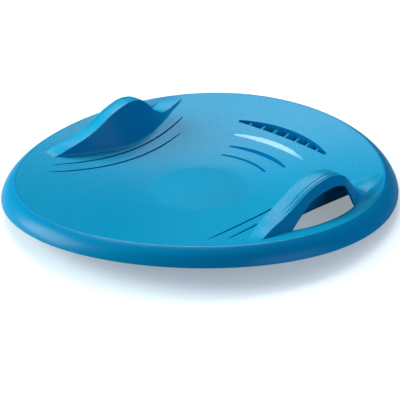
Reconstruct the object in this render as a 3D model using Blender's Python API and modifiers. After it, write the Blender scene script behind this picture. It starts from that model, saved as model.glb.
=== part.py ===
# Round snow saucer: a moulded dish with a turned-down rim, two hand holds and a carry slot.
# Metres, +Z up. The origin is on the ground under the middle of the seat flat.
# +Y points to the carry slot, and the hand holds lie at +X and -X.

import math

import bmesh
import bpy
from mathutils import Matrix

# Whole moulding
RIM_RADIUS = 0.300
RIM_WIDTH = 0.022
RIM_EDGE_HEIGHT = 0.0237
RIM_BULGE = 0.0042
CREASE_HEIGHT = 0.047
SEAT_FLAT_RADIUS = 0.073
DISH_POWER = 1.3
WALL = 0.0035
SEAM = 0.0003

# Hand hold: a hood that stands on the dish, open to the outside
HANDLE_FOOT_INSET = 0.103
HANDLE_TIP_MARGIN = 0.0046
HANDLE_MIDDLE_Y = 0.0235
HANDLE_LENGTH = 0.283
FOOT_BEND = 0.5
WALL_LEAN = 0.021
WALL_LEAN_SKEW = 1.25
GRIP_RISE = 0.0545
GRIP_WIDTH = 0.028
GRIP_CROWN = 0.0015
GRIP_EDGE = 0.003
FACE_SPREAD = 0.0295
FACE_STEP = 0.0009
SKIRT_DEPTH = 0.0095
SOLID_REAR_TIP = 0.020
SOLID_FRONT_TIP = 0.029
HAND_OPENING_LENGTH = 0.115
HAND_OPENING_SHIFT = -0.021
HAND_OPENING_LIP = 0.0125
HAND_OPENING_CORNER = 0.019

# Each of these runs along the hand hold, from 0 at its rear end to 1 at its front end.
# Height of the grip, as a share of its rise; below 0 it dips on its inner side
GRIP_RISE_SHARES = (
    (0.00, 0.00), (0.02, 0.018), (0.05, 0.083), (0.10, 0.208), (0.20, 0.39), (0.28, 0.57),
    (0.40, 0.87), (0.52, 1.00), (0.60, 0.94), (0.66, 0.77), (0.74, 0.28), (0.80, 0.055),
    (0.84, 0.012), (0.88, -0.03), (0.94, -0.02), (1.00, 0.00),
)
# Width of the grip, as a share of its full width
GRIP_WIDTH_SHARES = (
    (0.00, 0.78), (0.05, 0.90), (0.10, 0.98), (0.28, 0.99), (0.50, 1.00), (0.70, 0.97),
    (0.81, 0.96), (0.89, 0.87), (0.95, 0.66), (1.00, 0.32),
)
# How far the grip tilts with the slope of the dish: 0 is level, 1 lies along the dish
GRIP_TILT_SHARES = (
    (0.00, 1.0), (0.10, 0.5), (0.20, 0.0), (0.66, 0.0), (0.75, -0.6), (0.80, 0.0), (0.88, 1.0), (1.00, 1.0),
)
# How far the foot of the outer face stands out from the grip, as a share of its full spread
FACE_SPREAD_SHARES = (
    (0.00, 0.00), (0.10, 0.05), (0.22, 0.44), (0.30, 0.81), (0.42, 1.00), (0.54, 0.95),
    (0.63, 0.73), (0.72, 0.42), (0.82, 0.16), (0.92, 0.03), (1.00, 0.00),
)

# Carry slot and its finger ribs
SLOT_LENGTH = 0.183
SLOT_WIDTH = 0.020
SLOT_END_WIDTH = 0.004
SLOT_END_INSET = 0.0898
SLOT_BULGE = 0.0168
SLOT_FLANGE_DEPTH = 0.013
RIB_PITCH = 0.024
RIB_THICKNESS = 0.0025
RIB_REACH_SHARE = 0.5
RIB_END_MARGIN = 0.015

# Sunk blades between the seat and the slot: the x of both ends, how far the ends and the middle
# lie behind the slot's ends, and the width
BLADE_DEPTH = 0.0015
BLADE_TIP = 0.003
BLADES = (
    (-0.076, 0.076, 0.0322, 0.0160, 0.0105),
    (-0.061, 0.061, 0.0602, 0.0470, 0.0075),
    (-0.054, 0.042, 0.0852, 0.0747, 0.0040),
)
# Grooves beside each hand hold: three points, each the distance along it from its middle and the
# distance in from its foot
GROOVE_WIDTH = 0.0028
GROOVE_TIP = 0.0006
GROOVES = (
    ((-0.157, 0.0246), (-0.0135, 0.0130), (0.1095, 0.0233)),
    ((-0.178, 0.0500), (-0.0385, 0.0368), (0.0765, 0.0415)),
)

# The moulding has sprung slightly out of true: two opposite sides of the rim stand up
WARP_RISE = 0.011
WARP_BEARING = math.radians(121.3)

# Facets, and the rings of the dish as shares of the way from the seat flat to the crease
SEGMENTS = 96
RING_SHARES = (0.0, 0.2, 0.43, 0.68, 1.0)
RIM_STEPS = 6
HANDLE_STATIONS = 30
ARCH_STEPS = 14
BLADE_STEPS = 16
SLOT_STEPS = 24
WELD = 0.00001
SHARP_ANGLE = math.radians(30.0)

# Moulded polyethylene, in linear colour
BLUE = (0.021, 0.323, 0.571, 1.0)
DEEP_BLUE = (0.0, 0.124, 0.366, 1.0)
ROUGHNESS = 0.45

# Worked out from the sizes above
CREASE_RADIUS = RIM_RADIUS - RIM_WIDTH
SLOT_END_Y = CREASE_RADIUS - SLOT_END_INSET
HANDLE_FOOT_X = CREASE_RADIUS - HANDLE_FOOT_INSET
HANDLE_TIP_Y = HANDLE_MIDDLE_Y + 0.5 * HANDLE_LENGTH
HANDLE_TIP_X = math.sqrt((CREASE_RADIUS - HANDLE_TIP_MARGIN) ** 2 - HANDLE_TIP_Y ** 2)
FOOT_BOW = HANDLE_TIP_X - GRIP_WIDTH * GRIP_WIDTH_SHARES[-1][1] - HANDLE_FOOT_X
CUT_TOP = CREASE_HEIGHT + GRIP_RISE
CUT_BOTTOM = -GRIP_RISE


def dish_height(x, y):
    """Top of the dish over the point x, y, before the warp."""
    run = (math.hypot(x, y) - SEAT_FLAT_RADIUS) / (CREASE_RADIUS - SEAT_FLAT_RADIUS)
    return WALL + (CREASE_HEIGHT - WALL) * max(run, 0.0) ** DISH_POWER


def warp_height(x, y):
    """How far the sprung moulding stands above its true form; the seat flat stays flat."""
    run = max(math.hypot(x, y) - SEAT_FLAT_RADIUS, 0.0) / (RIM_RADIUS - SEAT_FLAT_RADIUS)
    return WARP_RISE * run * run * math.cos(2.0 * (math.atan2(y, x) - WARP_BEARING))


def along(points, s):
    """Smooth curve through (place, value) points, read at place s."""
    count = len(points)
    i = max(k for k in range(count - 1) if points[k][0] <= s or k == 0)
    (s0, v0), (s1, v1) = points[i], points[i + 1]
    slopes = []
    for k in (i, i + 1):
        a, b = points[max(k - 1, 0)], points[min(k + 1, count - 1)]
        slopes.append((b[1] - a[1]) / (b[0] - a[0]))
    span = s1 - s0
    t = (s - s0) / span
    start = (2 * t ** 3 - 3 * t ** 2 + 1) * v0 + (t ** 3 - 2 * t ** 2 + t) * span * slopes[0]
    end = (3 * t ** 2 - 2 * t ** 3) * v1 + (t ** 3 - t ** 2) * span * slopes[1]
    return start + end


def arc_through(start, middle, end, count):
    """Points along the circle through three points, from start to end."""
    (ax, ay), (bx, by), (cx, cy) = start, middle, end
    d = 2.0 * (ax * (by - cy) + bx * (cy - ay) + cx * (ay - by))
    a2, b2, c2 = ax * ax + ay * ay, bx * bx + by * by, cx * cx + cy * cy
    ox = (a2 * (by - cy) + b2 * (cy - ay) + c2 * (ay - by)) / d
    oy = (a2 * (cx - bx) + b2 * (ax - cx) + c2 * (bx - ax)) / d
    radius = math.hypot(ax - ox, ay - oy)
    first = math.atan2(ay - oy, ax - ox)
    last = math.atan2(cy - oy, cx - ox)
    turn = (last - first + math.pi) % (2.0 * math.pi) - math.pi
    points = []
    for i in range(count + 1):
        angle = first + turn * i / count
        points.append((ox + radius * math.cos(angle), oy + radius * math.sin(angle), angle))
    return points


def blade_outline(centre_line, width, tip, count):
    """Closed outline along an arc through three points, widest in the middle and blunt at both tips."""
    left, right = [], []
    for i, (x, y, angle) in enumerate(arc_through(*centre_line, count)):
        s = 2.0 * i / count - 1.0
        half = 0.5 * (tip + (width - tip) * (1.0 - s * s))
        left.append((x + half * math.cos(angle), y + half * math.sin(angle)))
        right.append((x - half * math.cos(angle), y - half * math.sin(angle)))
    return left + right[::-1]


def grown(outline, distance):
    """The closed outline moved outwards by a distance."""
    count = len(outline)
    area = sum(outline[i - 1][0] * outline[i][1] - outline[i][0] * outline[i - 1][1] for i in range(count))
    side = math.copysign(distance, area)
    points = []
    for i in range(count):
        (ax, ay), (bx, by), (cx, cy) = outline[i - 1], outline[i], outline[(i + 1) % count]
        before = math.atan2(by - ay, bx - ax)
        after = math.atan2(cy - by, cx - bx)
        half = 0.5 * ((after - before + math.pi) % (2.0 * math.pi) - math.pi)
        angle = before + half - 0.5 * math.pi
        reach = side / max(math.cos(half), 0.5)
        points.append((bx + reach * math.cos(angle), by + reach * math.sin(angle)))
    return points


def mirrored(outline):
    """The outline on the other side of the saucer, left for right."""
    return [(-x, y) for x, y in outline]


def clear_scene():
    for item in list(bpy.data.objects):
        bpy.data.objects.remove(item, do_unlink=True)


def new_collection(name):
    collection = bpy.data.collections.new(name)
    bpy.context.scene.collection.children.link(collection)
    return collection


def new_object(name, mesh, collection):
    item = bpy.data.objects.new(name, mesh)
    collection.objects.link(item)
    return item


def baked(item):
    """The object with its modifiers applied, as a mesh of its own."""
    bpy.context.view_layer.update()
    shape = item.evaluated_get(bpy.context.evaluated_depsgraph_get())
    mesh = bpy.data.meshes.new_from_object(shape)
    form = bmesh.new()
    form.from_mesh(mesh)
    bmesh.ops.remove_doubles(form, verts=form.verts, dist=WELD)
    bmesh.ops.recalc_face_normals(form, faces=form.faces)
    form.to_mesh(mesh)
    form.free()
    item.modifiers.clear()
    return mesh


def turned(name, profile, closed, collection):
    """A solid of revolution from a profile of (radius, height) points."""
    mesh = bpy.data.meshes.new(name)
    edges = [(i, i + 1) for i in range(len(profile) - 1)]
    if closed:
        edges.append((len(profile) - 1, 0))
    mesh.from_pydata([(r, 0.0, z) for r, z in profile], edges, [])
    item = new_object(name, mesh, collection)
    screw = item.modifiers.new("turn", "SCREW")
    screw.steps = SEGMENTS
    screw.render_steps = SEGMENTS
    screw.use_merge_vertices = True
    screw.merge_threshold = WELD
    item.data = baked(item)
    return item


def plate(name, outline, bottom, top, collection):
    """A flat outline given an upright thickness."""
    curve = bpy.data.curves.new(name, "CURVE")
    curve.dimensions = "2D"
    curve.fill_mode = "BOTH"
    curve.extrude = 0.5 * (top - bottom)
    line = curve.splines.new("POLY")
    line.points.add(len(outline) - 1)
    for point, (x, y) in zip(line.points, outline):
        point.co = (x, y, 0.0, 1.0)
    line.use_cyclic_u = True
    drawn = new_object(name + "_outline", curve, collection)
    drawn.location.z = 0.5 * (top + bottom)
    mesh = baked(drawn)
    mesh.transform(drawn.matrix_world)
    bpy.data.objects.remove(drawn, do_unlink=True)
    return new_object(name, mesh, collection)


def loft(name, sections, collection):
    """A solid skinned over sections that hold equal numbers of points."""
    form = bmesh.new()
    rings = [[form.verts.new(point) for point in section] for section in sections]
    for lower, upper in zip(rings, rings[1:]):
        for i in range(len(lower)):
            form.faces.new((lower[i - 1], lower[i], upper[i], upper[i - 1]))
    form.faces.new(rings[0])
    form.faces.new(rings[-1])
    bmesh.ops.recalc_face_normals(form, faces=form.faces)
    mesh = bpy.data.meshes.new(name)
    form.to_mesh(mesh)
    form.free()
    return new_object(name, mesh, collection)


def combine(item, operation, *others):
    """Cut, join or intersect an object with others."""
    for other in others:
        step = item.modifiers.new(operation.lower(), "BOOLEAN")
        step.operation = operation
        step.solver = "EXACT"
        step.object = other
        other.hide_render = True
        other.display_type = "WIRE"
    item.data = baked(item)


def dish_skin(name, below_top, above_top, collection):
    """The solid between two copies of the dish surface, shifted down and up."""
    edge = CREASE_RADIUS - 0.5 * SEAM
    radii = [SEAT_FLAT_RADIUS + share * (edge - SEAT_FLAT_RADIUS) for share in RING_SHARES]
    top = [(r, dish_height(r, 0.0) + above_top) for r in radii]
    under = [(r, dish_height(r, 0.0) - below_top) for r in reversed(radii)]
    centre_top, centre_under = (0.0, WALL + above_top), (0.0, WALL - below_top)
    return turned(name, [centre_top] + top + under + [centre_under], False, collection)


def finish(item, colour):
    """Give the object its facets, the warp of the whole moulding and its material."""
    form = bmesh.new()
    form.from_mesh(item.data)
    bmesh.ops.triangulate(form, faces=form.faces)
    for vert in form.verts:
        vert.co.z += warp_height(vert.co.x, vert.co.y)
    form.to_mesh(item.data)
    form.free()
    material = bpy.data.materials.new(item.name + "_polyethylene")
    material.use_nodes = True
    shader = material.node_tree.nodes["Principled BSDF"]
    shader.inputs["Base Color"].default_value = colour
    shader.inputs["Roughness"].default_value = ROUGHNESS
    shader.inputs["Metallic"].default_value = 0.0
    item.data.materials.clear()
    item.data.materials.append(material)
    item.data.shade_smooth()
    item.data.set_sharp_from_angle(angle=SHARP_ANGLE)


# Lines of the hand hold at +X. The share v runs from 0 at the rear end to 1 at the front end.

def handle_y(v):
    return HANDLE_MIDDLE_Y + (v - 0.5) * HANDLE_LENGTH


def handle_share(from_middle):
    """The share of the place this far along the hand hold from its middle."""
    return 0.5 + from_middle / HANDLE_LENGTH


def foot_x(v):
    """Foot of the inner wall: bowed towards the seat, and nearly straight at both its ends."""
    s = 2.0 * v - 1.0
    bow = (math.hypot(s, FOOT_BEND) - FOOT_BEND) / (math.hypot(1.0, FOOT_BEND) - FOOT_BEND)
    return HANDLE_FOOT_X + FOOT_BOW * bow


def grip_inner_x(v):
    s = 2.0 * v - 1.0
    lean = WALL_LEAN * math.sin(math.pi * v ** WALL_LEAN_SKEW)
    return max(HANDLE_FOOT_X + FOOT_BOW * s * s + lean, foot_x(v) + FACE_STEP)


def grip_outer_x(v):
    return grip_inner_x(v) + GRIP_WIDTH * along(GRIP_WIDTH_SHARES, v)


def face_foot_x(v):
    """Foot of the outer face, which spreads outwards below the grip."""
    return grip_outer_x(v) + FACE_SPREAD * along(FACE_SPREAD_SHARES, v) + FACE_STEP


def grip_z(x, v):
    """Height of the grip at a point across it."""
    inner, outer = grip_inner_x(v), grip_outer_x(v)
    middle = dish_height(0.5 * (inner + outer), handle_y(v))
    rise = GRIP_RISE * along(GRIP_RISE_SHARES, v)
    if rise < 0.0:
        rise *= (outer - x) / (outer - inner)
    return middle + along(GRIP_TILT_SHARES, v) * (dish_height(x, handle_y(v)) - middle) + rise


def hood_section(v, inset, bottom):
    """Section across the hand hold at share v, drawn in by inset for its hollow."""
    y = handle_y(v)
    foot, face = foot_x(v) + inset, face_foot_x(v) - inset
    inner, outer = grip_inner_x(v) + inset, grip_outer_x(v) - inset
    middle = 0.5 * (inner + outer)
    inner_z, middle_z, outer_z = [grip_z(x, v) - inset for x in (inner, middle, outer)]
    edge = GRIP_EDGE * min(1.0, (outer - inner) / (4.0 * GRIP_EDGE))
    foot_z, face_z = dish_height(foot, y) - inset, dish_height(face, y) - inset
    wall_run = edge / max(inner_z - foot_z, edge)
    face_run = edge / max(outer_z - face_z, edge)
    low_foot = bottom if bottom is not None else foot_z - WALL - SKIRT_DEPTH
    low_face = bottom if bottom is not None else face_z - WALL - SKIRT_DEPTH
    return [
        (foot, y, low_foot),
        (foot, y, foot_z),
        (inner + (foot - inner) * wall_run, y, inner_z + (foot_z - inner_z) * wall_run),
        (inner + edge, y, inner_z + (middle_z - inner_z) * edge / (middle - inner)),
        (middle, y, middle_z + GRIP_CROWN * edge / GRIP_EDGE),
        (outer - edge, y, outer_z + (middle_z - outer_z) * edge / (outer - middle)),
        (outer + (face - outer) * face_run, y, outer_z + (face_z - outer_z) * face_run),
        (face, y, face_z),
        (face, y, low_face),
    ]


def handle_outline():
    shares = [i / HANDLE_STATIONS for i in range(HANDLE_STATIONS + 1)]
    inner = [(foot_x(v), handle_y(v)) for v in shares]
    outer = [(face_foot_x(v), handle_y(v)) for v in reversed(shares)]
    return inner + outer


def hand_opening(cutters):
    """Arch cut through the outer face, a lip's height below the grip and rounded at its front end."""
    rear = handle_share(HAND_OPENING_SHIFT - 0.5 * HAND_OPENING_LENGTH)
    front = handle_share(HAND_OPENING_SHIFT + 0.5 * HAND_OPENING_LENGTH)
    arch = [(handle_y(rear), CUT_BOTTOM)]
    for i in range(ARCH_STEPS + 1):
        v = rear + (front - rear) * i / ARCH_STEPS
        to_front = (front - v) * HANDLE_LENGTH
        drop = HAND_OPENING_LIP * (1.0 + max(0.0, 1.0 - to_front / HAND_OPENING_CORNER))
        arch.append((handle_y(v), grip_z(grip_outer_x(v), v) - drop))
    arch.append((handle_y(front), CUT_BOTTOM))
    grip_middle_x = 0.5 * (grip_inner_x(0.5) + grip_outer_x(0.5))
    opening = plate("hand_opening", arch, grip_middle_x, RIM_RADIUS, cutters)
    # A third of a turn about the diagonal stands the arch up: its length along Y, its height along Z
    opening.data.transform(Matrix.Rotation(math.radians(120.0), 4, (1.0, 1.0, 1.0)))
    return opening


def build_handle(name, parts, cutters, left=False):
    shares = [i / HANDLE_STATIONS for i in range(HANDLE_STATIONS + 1)]
    hood = loft(name, [hood_section(v, 0.0, None) for v in shares], parts)
    hollow_rear = SOLID_REAR_TIP / HANDLE_LENGTH
    hollow_front = 1.0 - SOLID_FRONT_TIP / HANDLE_LENGTH
    hollow_shares = [v for v in shares if hollow_rear < v < hollow_front]
    hollow = loft("hollow", [hood_section(v, WALL, CUT_BOTTOM) for v in hollow_shares], cutters)
    combine(hood, "DIFFERENCE", hollow, hand_opening(cutters))
    if left:
        hood.data.transform(Matrix.Scale(-1.0, 4, (1.0, 0.0, 0.0)))
        hood.data.flip_normals()
    finish(hood, BLUE)


def slot_outline():
    half = 0.5 * SLOT_LENGTH
    centre_line = (-half, SLOT_END_Y), (0.0, SLOT_END_Y + SLOT_BULGE), (half, SLOT_END_Y)
    return blade_outline(centre_line, SLOT_WIDTH, SLOT_END_WIDTH, SLOT_STEPS)


def slot_edges(x):
    """Near and far edge of the slot at a place across it."""
    s = 2.0 * x / SLOT_LENGTH
    centre = SLOT_END_Y + SLOT_BULGE * (1.0 - s * s)
    half = 0.5 * (SLOT_END_WIDTH + (SLOT_WIDTH - SLOT_END_WIDTH) * (1.0 - s * s))
    return centre - half, centre + half


def build_carry_grip(parts, cutters):
    """Flanged lining of the carry slot with its finger ribs on the near side."""
    grip = plate("carry_grip", grown(slot_outline(), WALL), CUT_BOTTOM, CUT_TOP, parts)
    through = plate("slot_through", slot_outline(), 2.0 * CUT_BOTTOM, 2.0 * CUT_TOP, cutters)
    combine(grip, "DIFFERENCE", through)
    ribs_each_side = int((0.5 * SLOT_LENGTH - RIB_END_MARGIN) / RIB_PITCH)
    for i in range(-ribs_each_side, ribs_each_side + 1):
        near, far = slot_edges(i * RIB_PITCH)
        root, tip = near - 0.5 * WALL, near + RIB_REACH_SHARE * (far - near)
        left, right = i * RIB_PITCH - 0.5 * RIB_THICKNESS, i * RIB_PITCH + 0.5 * RIB_THICKNESS
        rib_outline = [(left, root), (right, root), (right, tip), (left, tip)]
        combine(grip, "UNION", plate("finger_rib", rib_outline, 0.0, CREASE_HEIGHT, cutters))
    combine(grip, "INTERSECT", dish_skin("grip_depth", WALL + SLOT_FLANGE_DEPTH, 0.0, cutters))
    finish(grip, DEEP_BLUE)


def sunk_outlines():
    """Outlines of everything that is sunk into the top of the dish."""
    outlines = []
    for left, right, ends_behind, middle_behind, width in BLADES:
        middle = (0.5 * (left + right), SLOT_END_Y - middle_behind)
        ends_y = SLOT_END_Y - ends_behind
        outlines.append(blade_outline(((left, ends_y), middle, (right, ends_y)), width, BLADE_TIP, BLADE_STEPS))
    for groove in GROOVES:
        shares = [handle_share(from_middle) for from_middle, _ in groove]
        line = [(foot_x(v) - from_foot, handle_y(v)) for v, (_, from_foot) in zip(shares, groove)]
        outline = blade_outline(line, GROOVE_WIDTH, GROOVE_TIP, BLADE_STEPS)
        outlines.extend((outline, mirrored(outline)))
    return outlines


def build_dish(parts, cutters):
    """The seat dish with its openings, sunk blades and grooves."""
    dish = dish_skin("dish", WALL, 0.0, parts)
    handle_hole = grown(handle_outline(), SEAM)
    for outline in (handle_hole, mirrored(handle_hole), grown(slot_outline(), WALL + SEAM)):
        combine(dish, "DIFFERENCE", plate("dish_hole", outline, CUT_BOTTOM, CUT_TOP, cutters))
    for outline in sunk_outlines():
        recess = plate("recess", outline, 0.0, CUT_TOP, cutters)
        combine(recess, "INTERSECT", dish_skin("recess_depth", BLADE_DEPTH, CUT_TOP, cutters))
        combine(dish, "DIFFERENCE", recess)
    finish(dish, BLUE)


def build_rim(parts):
    """The turned-down rim: an arc from the crease down to the edge, with an even wall."""
    inner = CREASE_RADIUS + 0.5 * SEAM
    across, down = RIM_RADIUS - inner, CREASE_HEIGHT - RIM_EDGE_HEIGHT
    slant = math.hypot(across, down)
    middle = (
        inner + 0.5 * across + RIM_BULGE * down / slant,
        RIM_EDGE_HEIGHT + 0.5 * down + RIM_BULGE * across / slant,
    )
    outside, inside = [], []
    for x, z, angle in arc_through((inner, CREASE_HEIGHT), middle, (RIM_RADIUS, RIM_EDGE_HEIGHT), RIM_STEPS):
        outside.append((x, z))
        inside.append((max(x - WALL * math.cos(angle), inner), z - WALL * math.sin(angle)))
    finish(turned("rim", outside + inside[::-1], True, parts), BLUE)


clear_scene()
saucer = new_collection("snow_saucer")
saucer_cutters = new_collection("cutters")
build_dish(saucer, saucer_cutters)
build_rim(saucer)
build_handle("right_handle", saucer, saucer_cutters)
build_handle("left_handle", saucer, saucer_cutters, left=True)
build_carry_grip(saucer, saucer_cutters)
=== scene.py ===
import math

import bmesh
import bpy
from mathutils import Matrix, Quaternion, Vector


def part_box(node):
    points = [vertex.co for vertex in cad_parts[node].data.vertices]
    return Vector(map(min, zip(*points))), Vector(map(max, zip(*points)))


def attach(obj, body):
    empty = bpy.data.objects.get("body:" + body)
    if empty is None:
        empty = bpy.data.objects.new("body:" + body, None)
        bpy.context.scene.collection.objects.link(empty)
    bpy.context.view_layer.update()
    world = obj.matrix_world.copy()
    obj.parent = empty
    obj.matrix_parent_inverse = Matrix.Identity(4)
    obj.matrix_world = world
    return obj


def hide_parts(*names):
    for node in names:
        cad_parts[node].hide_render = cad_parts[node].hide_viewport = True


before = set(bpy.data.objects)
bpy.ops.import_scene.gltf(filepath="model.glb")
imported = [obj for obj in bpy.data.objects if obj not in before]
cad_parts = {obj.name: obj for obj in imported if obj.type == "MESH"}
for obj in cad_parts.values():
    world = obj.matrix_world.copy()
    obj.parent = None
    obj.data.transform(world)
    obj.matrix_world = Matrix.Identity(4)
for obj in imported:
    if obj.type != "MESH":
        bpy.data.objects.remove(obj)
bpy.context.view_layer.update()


# Seat dish. The middle of a single high-density polyethylene moulding, 3.5 mm thick: a flat round
# seat that curves up to a crease. Its top comes pebble-grained from the mould, and the blades and
# grooves sunk into it come smooth, the widest blade polished.
MM = 0.001
RIM_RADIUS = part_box("rim")[1].x
CREASE_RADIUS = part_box("dish")[1].x + 0.15 * MM
CREASE_HEIGHT = 47.0 * MM
SEAT_FLAT_RADIUS = 73.0 * MM
DISH_POWER = 1.3
WALL = 3.5 * MM
RIDGE = 2.0 * MM
DISH_EDGE = CREASE_RADIUS - RIDGE
WARP_RISE = 11.0 * MM
WARP_BEARING = math.radians(121.3)
TURN_STEPS = 288
WELD = 0.001 * MM
SHARP_ANGLE = math.radians(38.0)
SLOT_END_Y = CREASE_RADIUS - 89.8 * MM

# The dish is grained, material number 0, and its cuts take these two numbers
POLISHED, SMOOTH_PAINTED_SHADE = 1, 2
CUT_STEPS = 64
CUT_POINTS = 12
CUT_LIP = 0.5 * MM
CUT_TOP = 3.0 * MM
HOLE_TOOL_HEIGHTS = (-50.0 * MM, 100.0 * MM)
BLADE_DEPTH = 1.5 * MM
BLADE_SLOPE = 0.28
BLADE_FAR_SHARE = 0.08
BLADE_TIP = 3.2 * MM
BLADE_BLUNTNESS = 40
# In millimetres: each blade's left and right end, how far its ends and its middle lie from the
# slot's ends towards -Y, and its width
BLADES = (
    (-76.0, 76.0, 32.2, 16.0, 10.5),
    (-61.0, 61.0, 60.2, 47.0, 7.5),
    (-54.0, 42.0, 85.2, 74.7, 4.0),
)
GROOVE_DEPTH = 1.6 * MM
GROOVE_SLOPE = 2.0
GROOVE_WIDTH = 2.8 * MM
GROOVE_TAPER = 0.6
GROOVE_BLUNTNESS = 8
# In millimetres, three points of each groove: along the hand hold from its middle, and in from
# its foot
GROOVES = (
    ((-157.0, 24.6), (-13.5, 13.0), (109.5, 23.3)),
    ((-178.0, 50.0), (-38.5, 36.8), (76.5, 41.5)),
)


def dish_height(x, y):
    """Top of the dish over a point, in its true form."""
    run = (math.hypot(x, y) - SEAT_FLAT_RADIUS) / (CREASE_RADIUS - SEAT_FLAT_RADIUS)
    return WALL + (CREASE_HEIGHT - WALL) * max(run, 0.0) ** DISH_POWER


def warp_height(x, y):
    """How far the sprung moulding stands above its true form."""
    run = max(math.hypot(x, y) - SEAT_FLAT_RADIUS, 0.0) / (RIM_RADIUS - SEAT_FLAT_RADIUS)
    return WARP_RISE * run * run * math.cos(2.0 * (math.atan2(y, x) - WARP_BEARING))


def smooth_step(share):
    share = min(max(share, 0.0), 1.0)
    return share * share * (3.0 - 2.0 * share)


def arc_through(start, middle, end, count):
    """Points on the circle through three points, each with its bearing from the circle's centre."""
    (ax, ay), (bx, by), (cx, cy) = start, middle, end
    d = 2.0 * (ax * (by - cy) + bx * (cy - ay) + cx * (ay - by))
    a2, b2, c2 = ax * ax + ay * ay, bx * bx + by * by, cx * cx + cy * cy
    ox = (a2 * (by - cy) + b2 * (cy - ay) + c2 * (ay - by)) / d
    oy = (a2 * (cx - bx) + b2 * (ax - cx) + c2 * (bx - ax)) / d
    radius = math.hypot(ax - ox, ay - oy)
    first = math.atan2(ay - oy, ax - ox)
    last = math.atan2(cy - oy, cx - ox)
    turn = (last - first + math.pi) % (2.0 * math.pi) - math.pi
    bearings = [first + turn * i / count for i in range(count + 1)]
    return [(ox + radius * math.cos(b), oy + radius * math.sin(b), b) for b in bearings]


def spun(profile):
    """The body that a profile of (radius, height) points makes when it turns once round Z."""
    form = bmesh.new()
    verts = [form.verts.new((r, 0.0, z)) for r, z in profile]
    edges = [form.edges.new(pair) for pair in zip(verts, verts[1:])]
    bmesh.ops.spin(
        form, geom=verts + edges, cent=(0.0, 0.0, 0.0), axis=(0.0, 0.0, 1.0),
        angle=2.0 * math.pi, steps=TURN_STEPS, use_merge=True,
    )
    bmesh.ops.remove_doubles(form, verts=form.verts, dist=WELD)
    bmesh.ops.recalc_face_normals(form, faces=form.faces)
    return form


def shaped_grid(columns, rows, place, gap=None, bands=()):
    """A grid whose crossing of column i and row j is moved to place(i, j).

    A gap is the block of cells left out: its first and last column, then its first and last row.
    The cells in each band, from its first row to its last, take material number 1.
    """
    form = bmesh.new()
    bmesh.ops.create_grid(form, x_segments=columns, y_segments=rows, size=0.5)
    for face in form.faces:
        row = (face.calc_center_median().y + 0.5) * rows
        if any(first < row < last for first, last in bands):
            face.material_index = 1
    if gap:
        inside = []
        for face in form.faces:
            middle = face.calc_center_median()
            column, row = (middle.x + 0.5) * columns, (middle.y + 0.5) * rows
            if gap[0] < column < gap[1] and gap[2] < row < gap[3]:
                inside.append(face)
        bmesh.ops.delete(form, geom=inside, context="FACES")
    for vert in form.verts:
        vert.co = place(round((vert.co.x + 0.5) * columns), round((vert.co.y + 0.5) * rows))
    bmesh.ops.remove_doubles(form, verts=form.verts, dist=WELD)
    return form


def closed_up(form):
    """Caps the open ends of a form and turns its faces outwards."""
    ends = [edge for edge in form.edges if edge.is_boundary]
    bmesh.ops.holes_fill(form, edges=ends)
    bmesh.ops.recalc_face_normals(form, faces=form.faces)
    return form


def add_form(form, other):
    """Adds the other form's faces to the first."""
    mesh = bpy.data.meshes.new("other")
    other.to_mesh(mesh)
    other.free()
    form.from_mesh(mesh)
    bpy.data.meshes.remove(mesh)


def new_piece(name, form):
    mesh = bpy.data.meshes.new(name)
    form.to_mesh(mesh)
    form.free()
    piece = bpy.data.objects.new(name, mesh)
    bpy.context.scene.collection.objects.link(piece)
    return piece


def settled(piece):
    """Applies the piece's modifiers and shades it smooth up to its sharp edges."""
    bpy.context.view_layer.update()
    shape = piece.evaluated_get(bpy.context.evaluated_depsgraph_get())
    mesh = bpy.data.meshes.new_from_object(shape)
    piece.modifiers.clear()
    piece.data = mesh
    mesh.shade_smooth()
    mesh.set_sharp_from_angle(angle=SHARP_ANGLE)
    return piece


def cut_with(piece, tools):
    """Cuts the piece with each tool; the cut takes the tool's material number."""
    for tool in tools:
        step = piece.modifiers.new("cut", "BOOLEAN")
        step.operation = "DIFFERENCE"
        step.solver = "EXACT"
        step.object = tool
    settled(piece)
    for tool in tools:
        bpy.data.objects.remove(tool, do_unlink=True)


def sprung(piece):
    """Gives the finished piece the moulding's slight spring out of true."""
    for vert in piece.data.vertices:
        vert.co.z += warp_height(vert.co.x, vert.co.y)
    return piece


def channel_tool(name, finish, centre_line, half_width, depth, slope, far_share, blunt):
    """Tool for a recess along an arc, with a softly rounded near lip and ends that run out.

    The near side is the one towards the arc's centre. The floor is deep there and climbs to
    far_share of that at the far side. It is never deeper than slope times the recess's half
    width, so it gets shallower towards narrow ends.
    """
    line = arc_through(*centre_line, CUT_STEPS)

    def place(i, j):
        x, y, bearing = line[i]
        s = 2.0 * i / CUT_STEPS - 1.0
        half = half_width(s)
        near = -min(depth, slope * half) * (1.0 - abs(s) ** blunt)
        far = far_share * near
        middle = 0.5 * (near + far)
        section = (
            (-half - CUT_LIP, CUT_TOP),
            (-half - CUT_LIP, 0.0),
            (-half - 0.35 * CUT_LIP, -0.12 * CUT_LIP),
            (-half - 0.1 * CUT_LIP, -0.4 * CUT_LIP),
            (-half, 0.9 * near),
            (-0.9 * half, near),
            (-0.45 * half, 0.5 * (near + middle)),
            (0.0, middle),
            (0.45 * half, 0.5 * (middle + far)),
            (0.9 * half, far),
            (half + CUT_LIP, 0.0),
            (half + CUT_LIP, CUT_TOP),
        )
        offset, height = section[j % CUT_POINTS]
        height = height if height > 0.0 else max(height, near)
        px, py = x + offset * math.cos(bearing), y + offset * math.sin(bearing)
        return px, py, dish_height(px, py) + height

    form = closed_up(shaped_grid(CUT_STEPS, CUT_POINTS, place))
    for face in form.faces:
        face.material_index = finish
    return new_piece(name, form)


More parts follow.
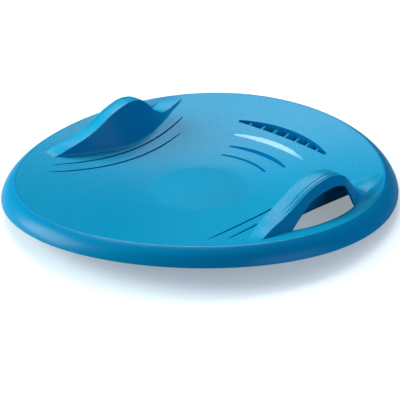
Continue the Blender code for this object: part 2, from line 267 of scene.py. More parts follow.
def prism_tool(name, outline):
    """Tool with upright sides over a closed outline, as tall as the moulding."""
    def place(i, j):
        return (*outline[i % len(outline)], HOLE_TOOL_HEIGHTS[j])

    return new_piece(name, closed_up(shaped_grid(len(outline), 1, place)))


def blade_tools():
    """The widest blade is polished and the other two are smooth."""
    tools = []
    for left, right, ends_at, middle_at, width in BLADES:
        ends_y = SLOT_END_Y - ends_at * MM
        middle = (0.5 * (left + right) * MM, SLOT_END_Y - middle_at * MM)
        line = (left * MM, ends_y), middle, (right * MM, ends_y)

        def half_width(s, width=width):
            round_end = math.sqrt(max(1.0 - abs(s) ** BLADE_BLUNTNESS, 0.0))
            return 0.5 * (BLADE_TIP + (width * MM - BLADE_TIP) * (1.0 - s * s)) * round_end

        # The two narrower blades take the smooth finish, whose deeper blue paints the shade in them
        finish = POLISHED if width == BLADES[0][-1] else SMOOTH_PAINTED_SHADE
        tools.append(channel_tool(
            "blade_tool", finish, line, half_width,
            BLADE_DEPTH, BLADE_SLOPE, BLADE_FAR_SHARE, BLADE_BLUNTNESS,
        ))
    return tools


def groove_tools():
    """Two grooves beside each hand hold, at an even depth."""
    tools = []
    for groove in GROOVES:
        shares = [0.5 + along * MM / HOLD_LENGTH for along, _ in groove]
        line = [(foot_x(v) - inwards * MM, hold_y(v)) for v, (_, inwards) in zip(shares, groove)]

        def half_width(s):
            return 0.5 * GROOVE_WIDTH * (1.0 - GROOVE_TAPER * s ** 4)

        for side_line in (line, [(-x, y) for x, y in line]):
            # The grooves take the smooth finish, whose deeper blue paints the shade in them
            tools.append(channel_tool(
                "groove_tool", SMOOTH_PAINTED_SHADE, side_line, half_width,
                GROOVE_DEPTH, GROOVE_SLOPE, 1.0, GROOVE_BLUNTNESS,
            ))
    return tools


def linear(colour):
    """An sRGB hex colour as the linear values that Blender's sockets take."""
    shares = [int(colour[i:i + 2], 16) / 255.0 for i in (1, 3, 5)]
    return (*[s / 12.92 if s <= 0.04045 else ((s + 0.055) / 1.055) ** 2.4 for s in shares], 1.0)


def add_node(tree, kind, settings=None, links=None):
    """Adds a node. Settings are its properties or socket values, links its inputs' sources."""
    node = tree.nodes.new(kind)
    for name, value in (settings or {}).items():
        if name in node.inputs:
            node.inputs[name].default_value = value
        else:
            setattr(node, name, value)
    for name, source in (links or {}).items():
        tree.links.new(source, node.inputs[name])
    return node


def polyethylene(name, light, dark, grain_mm, grain_height_mm, mottle_mm, roughness, specular):
    """Moulded high-density polyethylene, coloured right through, a little glossy and waxy.

    The pigment is mottled between a light and a dark tone, and the mould's grain is a bump. The
    plastic's IOR is 1.54, and 1.40 keeps its waxy skin from turning white at a low angle.
    """
    material = bpy.data.materials.new(name)
    material.use_nodes = True
    tree = material.node_tree
    shader = tree.nodes["Principled BSDF"]
    place = add_node(tree, "ShaderNodeTexCoord").outputs["Object"]
    mottle = add_node(
        tree, "ShaderNodeTexNoise",
        {"Scale": 1.0 / (mottle_mm * MM), "Detail": 3.0, "Roughness": 0.6}, {"Vector": place},
    )
    pigment = add_node(
        tree, "ShaderNodeMix", {"data_type": "RGBA"}, {"Factor": mottle.outputs["Fac"]},
    )
    pigment.inputs[6].default_value = linear(dark)
    pigment.inputs[7].default_value = linear(light)
    grain = add_node(
        tree, "ShaderNodeTexNoise",
        {"Scale": 1.0 / (grain_mm * MM), "Detail": 2.0, "Roughness": 0.5}, {"Vector": place},
    )
    bump = add_node(
        tree, "ShaderNodeBump", {"Strength": 1.0, "Distance": grain_height_mm * MM},
        {"Height": grain.outputs["Fac"]},
    )
    tree.links.new(pigment.outputs[2], shader.inputs["Base Color"])
    tree.links.new(bump.outputs["Normal"], shader.inputs["Normal"])
    shader.inputs["Roughness"].default_value = roughness
    shader.inputs["IOR"].default_value = 1.40
    shader.inputs["Specular IOR Level"].default_value = specular
    return material


# The seat's pebble grain comes from etched mould steel. It breaks the lamps' reflections into a
# soft, faintly speckled bloom. It is about 0.5 mm, too fine to show, so it is drawn 3 mm coarse.
grained = polyethylene(
    "hdpe_pebble_grained", light="#00A8D0", dark="#006E9A", grain_mm=3.0, grain_height_mm=0.16,
    mottle_mm=2.6, roughness=0.33, specular=0.16,
)
# Polished mould steel leaves the widest blade glossy, so it mirrors the lamp behind the sled.
polished = polyethylene(
    "hdpe_mould_polished", light="#009CCC", dark="#0094C6", grain_mm=6.0, grain_height_mm=0.0,
    mottle_mm=12.0, roughness=0.22, specular=0.9,
)
# Plain milled steel leaves the narrow cuts and the slot's lining smooth and dull, with hardly a glint.
# Their deeper blue is painted shade for these recesses.
smooth = polyethylene(
    "hdpe_mould_smooth_painted_shade", light="#0068A0", dark="#006098", grain_mm=6.0, grain_height_mm=0.0,
    mottle_mm=12.0, roughness=0.30, specular=0.0,
)


# Hand holds. Two hoods of the same polyethylene, moulded in one with the dish: a leaning inner
# wall, a level grip with the dish's grain and two fine lines, and an outer face with an arched
# opening for the hand. The left one is the right one mirrored.
HOLD_MIDDLE_Y = 23.5 * MM
HOLD_LENGTH = 283.0 * MM
HOLD_FOOT_X = CREASE_RADIUS - 103.0 * MM
HOLD_TIP_MARGIN = 4.6 * MM
FOOT_BEND = 0.5
WALL_LEAN = 21.0 * MM
WALL_LEAN_SKEW = 1.25
GRIP_RISE = 54.5 * MM
GRIP_WIDTH = 28.0 * MM
GRIP_CROWN = 0.8 * MM
GRIP_LINES = (7.6 * MM, 2.0 * MM)
GRIP_LINES_FROM, GRIP_LINES_FROM_BLEND = 0.20, 0.10
GRIP_LINES_TO, GRIP_LINES_TO_BLEND = 0.66, 0.08
GRIP_LINE_DEPTH = 0.6 * MM
GRIP_LINE_HALF = 0.6 * MM
NARROW_GRIP = 14.0 * MM
FACE_SPREAD = 29.5 * MM
FACE_STEP = 0.9 * MM
FLANGE = 1.0 * MM
FACE_FLANGE_GROWTH = 3.0 * MM
FRONT_FLANGE_GROWTH = 8.0 * MM
FOOT_ROUND = 3.5 * MM
FOOT_ROUND_FALL = 1.7 * MM
GRIP_INNER_ROUND = 0.6 * MM
GRIP_OUTER_ROUND = 1.0 * MM
FACE_TOP_ROUND = 3.5 * MM
REAR_BLEND = 2.0 * MM
FRONT_BLEND = 9.0 * MM
GUTTER_WIDTH = 10.0 * MM
GUTTER_DEPTH = 0.5 * MM
SKIRT_TOP = 1.2 * MM
SKIRT_DEPTH = 13.0 * MM
SKIRT_GAP = 0.3 * MM
OPENING_LENGTH = 120.0 * MM
OPENING_SHIFT = -21.5 * MM
OPENING_LIP = 9.4 * MM
OPENING_LIP_GROWTH = 16.0 * MM
OPENING_LIP_GROWS_FROM = 0.36
OPENING_REAR_SLOPE = 0.58
OPENING_REAR_ROUND = 4.0 * MM
OPENING_FRONT_ROUND = 5.5 * MM
HOLD_WALL = 2.6 * MM
HOLD_EDGE_GAP = 0.4 * MM
HOLD_SOFT_EDGE = 0.5 * MM
HOLD_SOFT_ANGLE = math.radians(60.0)
EVEN_STATIONS = 160
ROUND_STATIONS = 8
STATION_GAP = 0.7 * MM
# Places along the hand hold, from 0 at its rear end, towards -Y, to 1 at its front end: where a
# form begins, and the length that it takes to come in
END_BLEND = 0.10
FRONT_EDGE_FROM, FRONT_EDGE_BLEND = 0.72, 0.12
FOOT_ROUND_FALLS_FROM, FOOT_ROUND_BLEND = 0.20, 0.35
FLANGE_BLEND = 0.08
ARCH_BLEND = 0.06
SKIRT_FROM, SKIRT_BLEND = 0.06, 0.12
# Each list gives shares at places along the hand hold, from 0 at its rear end to 1 at its front:
# of the grip's height and width, of the dish's tilt across it, and of the outer face's spread
GRIP_RISE_SHARES = (
    (0.00, 0.00), (0.02, 0.018), (0.05, 0.083), (0.10, 0.208), (0.20, 0.39), (0.28, 0.57),
    (0.40, 0.87), (0.52, 1.00), (0.60, 0.94), (0.66, 0.77), (0.74, 0.28), (0.80, 0.065),
    (0.85, 0.045), (0.90, 0.050), (0.95, 0.040), (1.00, 0.00),
)
GRIP_WIDTH_SHARES = (
    (0.00, 0.78), (0.05, 0.90), (0.10, 0.98), (0.28, 0.99), (0.50, 1.00), (0.70, 0.97),
    (0.81, 0.96), (0.89, 0.87), (0.95, 0.66), (1.00, 0.32),
)
GRIP_TILT_SHARES = (
    (0.00, 1.0), (0.10, 0.5), (0.20, 0.0), (0.66, 0.0), (0.75, -0.6), (0.80, 0.0), (0.88, 1.0),
    (1.00, 1.0),
)
FACE_SPREAD_SHARES = (
    (0.00, 0.00), (0.10, 0.05), (0.22, 0.44), (0.30, 0.81), (0.42, 1.00), (0.54, 0.95),
    (0.63, 0.73), (0.72, 0.42), (0.82, 0.16), (0.92, 0.03), (1.00, 0.00),
)

# Finely blasted mould steel gives their walls and the rim a satin skin with a wide, soft
# highlight. Its texture is about 0.1 mm, too fine to show, so it is drawn 2.4 mm coarse. Its blue
# is a darker copy of the seat's: painted shade on the walls and the rim's band.
satin = polyethylene(
    "hdpe_satin_painted_shade", light="#0080AC", dark="#0076A2", grain_mm=2.4, grain_height_mm=0.10,
    mottle_mm=2.6, roughness=0.28, specular=0.10,
)


def along(points, s):
    """Smooth curve through (place, value) points, read at place s."""
    count = len(points)
    i = max(k for k in range(count - 1) if points[k][0] <= s or k == 0)
    (s0, v0), (s1, v1) = points[i], points[i + 1]
    slopes = []
    for k in (i, i + 1):
        a, b = points[max(k - 1, 0)], points[min(k + 1, count - 1)]
        slopes.append((b[1] - a[1]) / (b[0] - a[0]))
    span = s1 - s0
    t = (s - s0) / span
    start = (2 * t ** 3 - 3 * t ** 2 + 1) * v0 + (t ** 3 - 2 * t ** 2 + t) * span * slopes[0]
    end = (3 * t ** 2 - 2 * t ** 3) * v1 + (t ** 3 - t ** 2) * span * slopes[1]
    return start + end


HOLD_TIP_Y = HOLD_MIDDLE_Y + 0.5 * HOLD_LENGTH
HOLD_TIP_X = math.sqrt((CREASE_RADIUS - HOLD_TIP_MARGIN) ** 2 - HOLD_TIP_Y ** 2)
FOOT_BOW = HOLD_TIP_X - GRIP_WIDTH * GRIP_WIDTH_SHARES[-1][1] - HOLD_FOOT_X
OPENING_REAR = 0.5 + (OPENING_SHIFT - 0.5 * OPENING_LENGTH) / HOLD_LENGTH
OPENING_FRONT = 0.5 + (OPENING_SHIFT + 0.5 * OPENING_LENGTH) / HOLD_LENGTH


def hold_y(v):
    return HOLD_MIDDLE_Y + (v - 0.5) * HOLD_LENGTH


def foot_x(v):
    """Foot of the inner wall: a hyperbola, so that it bends in the middle and runs straight out."""
    bend = math.hypot(2.0 * v - 1.0, FOOT_BEND) - FOOT_BEND
    return HOLD_FOOT_X + FOOT_BOW * bend / (math.hypot(1.0, FOOT_BEND) - FOOT_BEND)


def grip_inner_x(v):
    lean = WALL_LEAN * math.sin(math.pi * v ** WALL_LEAN_SKEW)
    return max(HOLD_FOOT_X + FOOT_BOW * (2.0 * v - 1.0) ** 2 + lean, foot_x(v) + FACE_STEP)


def grip_outer_x(v):
    return grip_inner_x(v) + GRIP_WIDTH * along(GRIP_WIDTH_SHARES, v)


def face_foot_x(v):
    return grip_outer_x(v) + FACE_SPREAD * along(FACE_SPREAD_SHARES, v) + FACE_STEP


def grip_height(x, v):
    """Height of the grip at a point across it. At its front end only its inner edge stands up."""
    inner, outer = grip_inner_x(v), grip_outer_x(v)
    middle = dish_height(0.5 * (inner + outer), hold_y(v))
    inwards = min((outer - x) / (outer - inner), 1.0) ** 2
    rise = GRIP_RISE * along(GRIP_RISE_SHARES, v)
    rise *= 1.0 + smooth_step((v - FRONT_EDGE_FROM) / FRONT_EDGE_BLEND) * (inwards - 1.0)
    return middle + along(GRIP_TILT_SHARES, v) * (dish_height(x, hold_y(v)) - middle) + rise


def soft_corner(a, p, b, before, after, count):
    """Points of a soft corner at p on the way from a to b, with how far it reaches each way."""
    to_a, to_b = a - p, b - p
    start = p + to_a.normalized() * min(before, 0.48 * to_a.length)
    end = p + to_b.normalized() * min(after, 0.48 * to_b.length)
    points = []
    for i in range(count + 1):
        t = i / count
        points.append((1 - t) ** 2 * start + 2 * t * (1 - t) * p + t * t * end)
    return points


def straight(a, b, count):
    """The inner points of a straight run in count steps, without its ends."""
    return [a.lerp(b, i / count) for i in range(1, count)]


def gutter(start, end, foot, count):
    """The inner points of the shallow gutter along the wall's foot, which leaves the dish flush."""
    points = []
    for i in range(1, count):
        share = i / count
        point = start.lerp(end, share)
        chord = start.lerp(foot, (point.x - start.x) / (foot.x - start.x))
        sag = GUTTER_DEPTH * share * (1.0 - share)
        points.append(Vector((point.x, chord.y + sag)))
    return points


def opening_height(v, edge_height):
    """Height of the arch over the face's foot, where the grip's outer edge is edge_height over it.

    It slants up from the rear, then runs along under that edge to an upright front end.
    """
    rear, front = (v - OPENING_REAR) * HOLD_LENGTH, (OPENING_FRONT - v) * HOLD_LENGTH
    left = 1.0 - min(max(front / OPENING_FRONT_ROUND, 0.0), 1.0)
    lip = OPENING_LIP + OPENING_LIP_GROWTH * max(v - OPENING_LIP_GROWS_FROM, 0.0)
    full = edge_height - lip
    level = full * math.sqrt(max(1.0 - left * left, 0.0))
    slant = OPENING_REAR_SLOPE * rear
    overlap = max(OPENING_REAR_ROUND - abs(level - slant), 0.0)
    overlap *= smooth_step(front / OPENING_REAR_ROUND)
    softened = min(level, slant) - overlap * overlap / (4.0 * OPENING_REAR_ROUND)
    return max(softened, 0.0)


def hold_ends(v):
    """1 along the hand hold, and down to 0 over the last tenth at each end."""
    return smooth_step(v / END_BLEND) * smooth_step((1.0 - v) / END_BLEND)


def grip_rows(inner, outer, v):
    """Points across the grip, with its crown and the two fine lines near its outer edge."""
    width = outer.x - inner.x
    scale = min(1.0, width / NARROW_GRIP)
    plain = width - (GRIP_LINES[0] + 2.0 * GRIP_LINE_HALF) * scale
    places = [plain * i / 8 for i in range(1, 9)]
    depths = [0.0] * 8
    lines = smooth_step((v - GRIP_LINES_FROM) / GRIP_LINES_FROM_BLEND)
    lines *= smooth_step((GRIP_LINES_TO - v) / GRIP_LINES_TO_BLEND)
    for line in GRIP_LINES:
        for step, share in ((1.0, 0.0), (0.5, 0.6), (0.0, 1.0), (-0.5, 0.6), (-1.0, 0.0)):
            places.append(width - (line + step * GRIP_LINE_HALF) * scale)
            depths.append(GRIP_LINE_DEPTH * lines * share)
    crown = 4.0 * GRIP_CROWN * hold_ends(v) * scale
    points = []
    for place, depth in zip(places, depths):
        share = place / width
        point = inner.lerp(outer, share)
        point.y += crown * share * (1.0 - share) - depth
        points.append(point)
    return points


def hold_section(v):
    """The hand hold's rows at v, the rows of its opening, and its bands of grained rows.

    The rows are points across it, from the dish inside it over the grip to the dish outside it.
    """
    y = hold_y(v)
    ends = hold_ends(v)
    front = smooth_step((v - OPENING_FRONT) / FLANGE_BLEND)
    rear = smooth_step((OPENING_REAR - v) / FLANGE_BLEND)
    foot, face = foot_x(v), face_foot_x(v)
    dish_end_x = math.sqrt((DISH_EDGE - HOLD_EDGE_GAP) ** 2 - y * y)
    inner_flange = FLANGE + (GUTTER_WIDTH - FLANGE) * ends
    face_growth = (FACE_FLANGE_GROWTH + FRONT_FLANGE_GROWTH * front) * ends
    outer_flange = min(FLANGE + face_growth, dish_end_x - face)
    blend = (REAR_BLEND * rear + FRONT_BLEND * front) * ends
    start = Vector((foot - inner_flange, dish_height(foot - inner_flange, y)))
    foot_point = Vector((foot, dish_height(foot, y) - GUTTER_DEPTH * ends))
    inner = Vector((grip_inner_x(v), grip_height(grip_inner_x(v), v)))
    outer = Vector((grip_outer_x(v), grip_height(grip_outer_x(v), v)))
    face_point = Vector((face, dish_height(face, y)))
    end = Vector((face + outer_flange, dish_height(face + outer_flange, y)))

    fallen = smooth_step((v - FOOT_ROUND_FALLS_FROM) / FOOT_ROUND_BLEND)
    foot_round = FOOT_ROUND - FOOT_ROUND_FALL * fallen
    foot_corner = soft_corner(start, foot_point, inner, foot_round, foot_round, 5)
    inner_corner = soft_corner(foot_point, inner, outer, GRIP_INNER_ROUND, GRIP_INNER_ROUND, 3)
    outer_corner = soft_corner(inner, outer, face_point, GRIP_OUTER_ROUND, FACE_TOP_ROUND, 6)
    face_corner = soft_corner(outer, face_point, end, blend, 2.0 * blend, 6)
    face_top, face_bottom = outer_corner[-1], face_corner[0]
    if OPENING_REAR <= v <= OPENING_FRONT:
        height = opening_height(v, outer.y - face_bottom.y)
        split = 1.0 - height / (face_top.y - face_bottom.y)
    else:
        past_rear = smooth_step((OPENING_REAR - v) / ARCH_BLEND)
        past_front = smooth_step((v - OPENING_FRONT) / ARCH_BLEND)
        split = 1.0 - 0.5 * max(past_rear, past_front)
    arch_point = face_top.lerp(face_bottom, split)
    rows = [start] + gutter(start, foot_corner[0], foot_point, 5) + foot_corner
    foot_row = len(rows) - 1
    rows += straight(foot_corner[-1], inner_corner[0], 10) + inner_corner
    grip_row = len(rows) - 1
    rows += grip_rows(inner_corner[-1], outer_corner[0], v) + outer_corner
    edge_row = len(rows) - 1
    rows += straight(face_top, arch_point, 7) + [arch_point]
    arch_row = len(rows) - 1
    rows += straight(arch_point, face_bottom, 5) + face_corner
    face_row = len(rows) - 1
    rows += straight(face_corner[-1], end, 2) + [end]
    return rows, (arch_row, face_row), ((0, foot_row), (grip_row - 1, edge_row - 3))


def hold_stations():
    """Shares along the hand hold, closer together where the opening's front end is round."""
    close = [OPENING_REAR]
    for i in range(ROUND_STATIONS + 1):
        reach = 1.0 - math.cos(0.5 * math.pi * i / ROUND_STATIONS)
        close.append(OPENING_FRONT - reach * OPENING_FRONT_ROUND / HOLD_LENGTH)
    apart = STATION_GAP / HOLD_LENGTH
    even = [i / EVEN_STATIONS for i in range(EVEN_STATIONS + 1)]
    return sorted([v for v in even if all(abs(v - c) > apart for c in close)] + close)


stations = hold_stations()
sections = [hold_section(v) for v in stations]
hold_columns, hold_rows = len(stations) - 1, len(sections[0][0]) - 1
opening_columns = stations.index(OPENING_REAR), stations.index(OPENING_FRONT)
opening_rows, grained_rows = sections[0][1:]
inner_edge = [(rows[0].x, hold_y(v)) for v, (rows, _, _) in zip(stations, sections)]
outer_edge = [(rows[-1].x, hold_y(v)) for v, (rows, _, _) in zip(stations, sections)]
hold_outline = inner_edge + outer_edge[::-1]


def build_hold(name, side, node):
    """The hood on one side, with a skirt under the dish along each edge of its hole."""
    def place(i, j):
        point = sections[i][0][j]
        return side * point.x, hold_y(stations[i]), point.y

    def skirt_place(edge_x):
        def place(i, j):
            v = stations[i]
            ends = smooth_step((v - SKIRT_FROM) / SKIRT_BLEND)
            ends *= smooth_step((1.0 - SKIRT_FROM - v) / SKIRT_BLEND)
            depth = SKIRT_TOP + (SKIRT_DEPTH - SKIRT_TOP) * ends * j / 4
            x, y = edge_x(v) + SKIRT_GAP, hold_y(v)
            return side * x, y, dish_height(x, y) - depth
        return place

    form = shaped_grid(hold_columns, hold_rows, place, (*opening_columns, *opening_rows), grained_rows)
    form.normal_update()
    if sum(face.normal.z * face.calc_area() for face in form.faces) < 0.0:
        bmesh.ops.reverse_faces(form, faces=form.faces)
    for edge_x in (foot_x, face_foot_x):
        skirt = shaped_grid(hold_columns, 4, skirt_place(edge_x))
        skirt.normal_update()
        if sum(face.normal.x for face in skirt.faces) * side > 0.0:
            bmesh.ops.reverse_faces(skirt, faces=skirt.faces)
        add_form(form, skirt)
    piece = new_piece(name, form)
    # The walls and the outer face take the satin's darker blue, a painted shade; the grip and flanges
    # stay grained
    piece.data.materials.append(satin)
    piece.data.materials.append(grained)
    shell = piece.modifiers.new("wall", "SOLIDIFY")
    shell.thickness = HOLD_WALL
    shell.offset = -1.0
    edge = piece.modifiers.new("soft_edge", "BEVEL")
    edge.width = HOLD_SOFT_EDGE
    edge.segments = 2
    edge.limit_method = "ANGLE"
    edge.angle_limit = HOLD_SOFT_ANGLE
    sprung(settled(piece))
    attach(piece, "root")
    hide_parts(node)
    return piece


build_hold("right_hand_hold", 1.0, "right_handle")
build_hold("left_hand_hold", -1.0, "left_handle")


# Carry slot. A long lens-shaped hole through the dish, beyond the blades from the seat. It is part
# of the same moulding, lined with a short flange that comes smooth, with seven thin finger ribs on
# the side towards the seat. Its lip and ribs keep the dish's grain.
SLOT_LENGTH = 183.0 * MM
SLOT_WIDTH = 20.0 * MM
SLOT_END_WIDTH = 5.0 * MM
SLOT_BULGE = 16.8 * MM
SLOT_FLANGE_DEPTH = 15.5 * MM
SLOT_LIP = 0.5 * MM
RIB_PITCH = 24.0 * MM
RIB_THICKNESS = 3.0 * MM
RIB_DROP = 0.4 * MM
RIB_SOFT_EDGE = 0.5 * MM
# Shares: a rib's reach of the slot's width, its root of the wall, and its foot of the flange
RIB_REACH = 0.6
RIB_ROOT = 0.4
RIB_FOOT = 0.85
SLOT_STEPS = 48
SLOT_END_STEPS = 8


def slot_half_width(s):
    """Half the slot's width at s, which runs from -1 at its left end to 1 at its right end."""
    return 0.5 * (SLOT_END_WIDTH + (SLOT_WIDTH - SLOT_END_WIDTH) * (1.0 - s * s))


def slot_outline(grow):
    """Closed outline of the slot, moved outwards by grow: far side, round end, near side, end."""
    ends = (-0.5 * SLOT_LENGTH, SLOT_END_Y), (0.5 * SLOT_LENGTH, SLOT_END_Y)
    line = arc_through(ends[0], (0.0, SLOT_END_Y + SLOT_BULGE), ends[1], SLOT_STEPS)
    far, near = [], []
    for i, (x, y, bearing) in enumerate(line):
        half = slot_half_width(2.0 * i / SLOT_STEPS - 1.0) + grow
        out_x, out_y = half * math.cos(bearing), half * math.sin(bearing)
        far.append(Vector((x + out_x, y + out_y)))
        near.append(Vector((x - out_x, y - out_y)))
    outline = far
    for first, last, end_x in ((far[-1], near[-1], line[-1][0]), (near[0], far[0], line[0][0])):
        middle = 0.5 * (first + last)
        radius = first - middle
        if end_x < 0.0:
            outline = outline + near[::-1]
        turn = -math.pi if radius.cross(Vector((end_x, 0.0))) < 0.0 else math.pi
        for k in range(1, SLOT_END_STEPS):
            angle = turn * k / SLOT_END_STEPS
            outline.append(middle + Vector((
                radius.x * math.cos(angle) - radius.y * math.sin(angle),
                radius.x * math.sin(angle) + radius.y * math.cos(angle),
            )))
    return outline


slot_edge = slot_outline(0.0)
slot_back = slot_outline(WALL)
# The lining's section, from its outer top edge over its rounded lip and down: the share of the
# wall out from the slot, and the depth
LINING = (
    (1.0, 0.0), (0.5, 0.0), (SLOT_LIP / WALL, 0.0), (0.5 * SLOT_LIP / WALL, 0.13 * SLOT_LIP),
    (0.13 * SLOT_LIP / WALL, 0.5 * SLOT_LIP), (0.0, SLOT_LIP),
    (0.0, 0.5 * (WALL + SLOT_FLANGE_DEPTH)), (0.0, WALL + SLOT_FLANGE_DEPTH),
    (1.0, WALL + SLOT_FLANGE_DEPTH),
)


def lining_place(i, j):
    """A point on the lining: round the slot by i, and down its section by j."""
    share, depth = LINING[j % len(LINING)]
    edge, back = slot_edge[i % len(slot_edge)], slot_back[i % len(slot_edge)]
    point = edge.lerp(back, share)
    return point.x, point.y, dish_height(point.x, point.y) - depth


lining_form = shaped_grid(len(slot_edge), len(LINING), lining_place, bands=((0, 3),))
bmesh.ops.recalc_face_normals(lining_form, faces=lining_form.faces)
slot_lining = new_piece("slot_lining", lining_form)
# The lining's deeper blue paints the shade inside the slot
slot_lining.data.materials.append(smooth)
slot_lining.data.materials.append(grained)
sprung(settled(slot_lining))
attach(slot_lining, "root")
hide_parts("carry_grip")

rib_form = bmesh.new()
for i in range(-3, 4):
    x = i * RIB_PITCH
    s = 2.0 * x / SLOT_LENGTH
    half = slot_half_width(s)
    near_y = SLOT_END_Y + SLOT_BULGE * (1.0 - s * s) - half
    root, tip = near_y - RIB_ROOT * WALL, near_y + RIB_REACH * 2.0 * half
    made = bmesh.ops.create_cube(rib_form, size=1.0)["verts"]
    for vert in made:
        py = tip if vert.co.y > 0.0 else root
        drop = RIB_DROP if vert.co.z > 0.0 else WALL + RIB_FOOT * SLOT_FLANGE_DEPTH
        vert.co = (x + vert.co.x * RIB_THICKNESS, py, dish_height(x, py) - drop)
bmesh.ops.bevel(
    rib_form, geom=rib_form.edges, offset=RIB_SOFT_EDGE, offset_type="OFFSET", affect="EDGES",
    segments=2, profile=0.5, material=-1,
)
finger_ribs = new_piece("finger_ribs", rib_form)
finger_ribs.data.materials.append(grained)
sprung(settled(finger_ribs))
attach(finger_ribs, "root")
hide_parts("carry_grip")


# The dish itself, of the same grained polyethylene. It is spun, cut right through for the hand
# holds and the slot, and then sunk for its blades and grooves.
FLAT_RINGS = 8
SLOPE_RINGS = 44
radii = [SEAT_FLAT_RADIUS * i / FLAT_RINGS for i in range(FLAT_RINGS + 1)]
for i in range(1, SLOPE_RINGS + 1):
    radii.append(SEAT_FLAT_RADIUS + (DISH_EDGE - SEAT_FLAT_RADIUS) * i / SLOPE_RINGS)
top = [(r, dish_height(r, 0.0)) for r in radii]
dish_shell = new_piece("dish_shell", spun(top + [(r, z - WALL) for r, z in reversed(top)]))
dish_shell.data.materials.append(grained)
dish_shell.data.materials.append(polished)
dish_shell.data.materials.append(smooth)
left_outline = [(-x, y) for x, y in hold_outline]
holes = (hold_outline, left_outline, slot_back)
hole_tools = [prism_tool("hole_tool", outline) for outline in holes]
cut_with(dish_shell, hole_tools + blade_tools() + groove_tools())
sprung(dish_shell)
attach(dish_shell, "root")
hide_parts("dish")


# Rim. The edge of the same moulding turned down all round: a narrow ridge at the crease, then a
# satin band that curves to a rounded lip 24 mm above the ground.
RIM_EDGE_HEIGHT = 23.7 * MM
RIM_BULGE = 4.2 * MM
RIDGE_IN = 1.8 * MM
RIDGE_OUT = 1.2 * MM
LIP_RADIUS = 0.5 * WALL
RIM_STEPS = 20
LIP_STEPS = 8

# The ridge has a glossier finish, so it mirrors the lamp behind as a thin line of light along the
# crease; its lighter blue is a painted highlight along that line.
ridge_highlight = polyethylene(
    "hdpe_ridge_painted_highlight", light="#0094C6", dark="#008CBE", grain_mm=2.4, grain_height_mm=0.05,
    mottle_mm=4.0, roughness=0.26, specular=0.5,
)

dish_end = Vector((DISH_EDGE, dish_height(DISH_EDGE, 0.0)))
crest = Vector((CREASE_RADIUS, CREASE_HEIGHT))
edge = Vector((RIM_RADIUS, RIM_EDGE_HEIGHT))
outwards = Vector((CREASE_HEIGHT - RIM_EDGE_HEIGHT, RIM_RADIUS - CREASE_RADIUS)).normalized()
arc = arc_through(crest, 0.5 * (crest + edge) + RIM_BULGE * outwards, edge, RIM_STEPS)
arc = [(x, z, bearing) for x, z, bearing in arc if z > RIM_EDGE_HEIGHT + LIP_RADIUS]
outside = [Vector((x, z)) for x, z, _ in arc[1:]]
inside = [Vector((x - WALL * math.cos(b), z - WALL * math.sin(b))) for x, z, b in arc]
ridge = soft_corner(dish_end, crest, outside[0], RIDGE_IN, RIDGE_OUT, 5)
lip_middle, lip_bearing = 0.5 * (outside[-1] + inside[-1]), arc[-1][2]
lip = []
for i in range(1, LIP_STEPS):
    bearing = lip_bearing - math.pi * i / LIP_STEPS
    lip.append(lip_middle + LIP_RADIUS * Vector((math.cos(bearing), math.sin(bearing))))
under_edge = dish_end - Vector((0.0, WALL))
profile = [dish_end] + ridge + outside + lip + inside[::-1] + [under_edge, dish_end]
rim_form = spun([tuple(point) for point in profile])
# The ridge's faces take the glossier finish and its lighter blue, a painted highlight
for face in rim_form.faces:
    if face.calc_center_median().z > ridge[-1].y:
        face.material_index = 1
rim_band = new_piece("rim_band", rim_form)
# The band takes the satin's darker blue, a painted shade
rim_band.data.materials.append(satin)
rim_band.data.materials.append(ridge_highlight)
sprung(settled(rim_band))
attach(rim_band, "root")
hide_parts("rim")


# Floor. A white acrylic sheet that the studio lays under the sled. Casting against glass leaves it
# glossy, so it takes the sled's soft shadow and a faint reflection.
SHEET_HALF = 6.0
# Only the camera sees it glow, so that it looks pale with no more light on the sled. The glow
# fades close to the sled, which paints a soft shadow round it on top of the shadow the lamps cast
SHEET_GLOW = 0.37
SHEET_OPEN_GLOW = 0.44
SHEET_PAINTED_SHADOW_REACH = 0.50
SHEET_PAINTED_SHADOW_POWER = 1.5

floor_form = bmesh.new()
bmesh.ops.create_grid(floor_form, x_segments=1, y_segments=1, size=SHEET_HALF)
floor = new_piece("studio_floor", floor_form)
sheet = bpy.data.materials.new("cast_acrylic_sheet")
sheet.use_nodes = True
tree = sheet.node_tree
sheet_shader = tree.nodes["Principled BSDF"]
sheet_shader.inputs["Base Color"].default_value = linear("#CCD4D8")
sheet_shader.inputs["Roughness"].default_value = 0.12
sheet_shader.inputs["Emission Color"].default_value = linear("#E2ECF2")
# The glow is dimmed where the sled is near, which paints the soft shadow round it
open_sky = add_node(
    tree, "ShaderNodeAmbientOcclusion", {"samples": 16, "Distance": SHEET_PAINTED_SHADOW_REACH},
)
painted_shadow = add_node(tree, "ShaderNodeMath", {"operation": "POWER"})
painted_shadow.inputs[1].default_value = SHEET_PAINTED_SHADOW_POWER
tree.links.new(open_sky.outputs["AO"], painted_shadow.inputs[0])
glow = add_node(tree, "ShaderNodeMath", {"operation": "MULTIPLY_ADD"})
glow.inputs[1].default_value = SHEET_OPEN_GLOW
glow.inputs[2].default_value = SHEET_GLOW
tree.links.new(painted_shadow.outputs["Value"], glow.inputs[0])
rays = add_node(tree, "ShaderNodeLightPath")
seen_glow = add_node(tree, "ShaderNodeMath", {"operation": "MULTIPLY"})
tree.links.new(rays.outputs["Is Camera Ray"], seen_glow.inputs[0])
tree.links.new(glow.outputs["Value"], seen_glow.inputs[1])
tree.links.new(seen_glow.outputs["Value"], sheet_shader.inputs["Emission Strength"])
floor.data.materials.append(sheet)


# Light. Three softboxes: a large one high behind the sled, a low one at the camera's left and a
# weaker, cooler one behind its right shoulder, in a pale room that the camera sees as white.
CAMERA_TURN = 46.0
LAMP_DISTANCE = 2.6


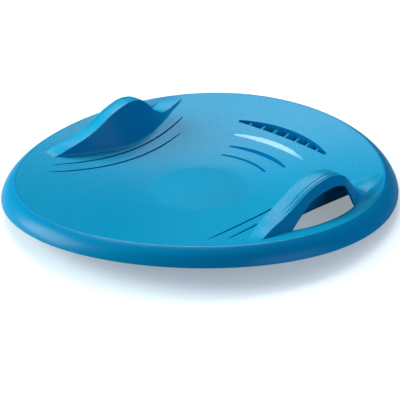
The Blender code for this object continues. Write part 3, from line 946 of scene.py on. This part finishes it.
def softbox(name, bearing, elevation, width, height, watts, colour="#FFFFFF"):
    """An area light aimed at the sled; bearing 0 is behind it as the camera sees it, 90 its right."""
    turn = math.radians(CAMERA_TURN - bearing)
    rise = math.radians(elevation)
    level = math.cos(rise)
    direction = Vector((-math.sin(turn) * level, math.cos(turn) * level, math.sin(rise)))
    data = bpy.data.lights.new(name, "AREA")
    data.shape = "RECTANGLE"
    data.size = width
    data.size_y = height
    data.energy = watts
    data.color = linear(colour)[:3]
    lamp = bpy.data.objects.new(name, data)
    lamp.location = direction * LAMP_DISTANCE
    lamp.rotation_mode = "QUATERNION"
    lamp.rotation_quaternion = direction.to_track_quat("Z", "Y")
    bpy.context.scene.collection.objects.link(lamp)


softbox("back_softbox", bearing=-8.0, elevation=55.0, width=1.9, height=1.3, watts=54.0)
softbox(
    "left_softbox", bearing=-86.0, elevation=23.0, width=1.7, height=1.4, watts=106.0,
    colour="#F6FFFD",
)
softbox(
    "right_softbox", bearing=132.0, elevation=18.0, width=1.6, height=1.3, watts=33.0,
    colour="#C4DAFF",
)

world = bpy.data.worlds.new("pale_room")
bpy.context.scene.world = world
world.use_nodes = True
room = world.node_tree
room.nodes.clear()
seen = add_node(room, "ShaderNodeBackground", {"Color": linear("#FFFFFF"), "Strength": 1.0})
felt = add_node(room, "ShaderNodeBackground", {"Color": linear("#F2F7FF"), "Strength": 0.05})
path = add_node(room, "ShaderNodeLightPath")
which = add_node(room, "ShaderNodeMixShader", None, {"Fac": path.outputs["Is Camera Ray"]})
room.links.new(felt.outputs["Background"], which.inputs[1])
room.links.new(seen.outputs["Background"], which.inputs[2])
add_node(room, "ShaderNodeOutputWorld", None, {"Surface": which.outputs["Shader"]})


# Camera. It stands at the photograph's angle, found from the outlines of the rim and the crease.
AIM = Vector((0.0, 0.0, -0.017))
ROLL = math.radians(-1.45)
camera_data = bpy.data.cameras.new("camera")
camera_data.lens = 91.895
camera_data.sensor_width = 36.0
camera = bpy.data.objects.new("camera", camera_data)
camera.location = (1.0152, -0.9804, 0.6802)
level_view = (AIM - camera.location).to_track_quat("-Z", "Y")
camera.rotation_mode = "QUATERNION"
camera.rotation_quaternion = level_view @ Quaternion((0.0, 0.0, 1.0), ROLL)
bpy.context.scene.collection.objects.link(camera)
bpy.context.scene.camera = camera

bpy.context.scene.view_settings.view_transform = "Standard"
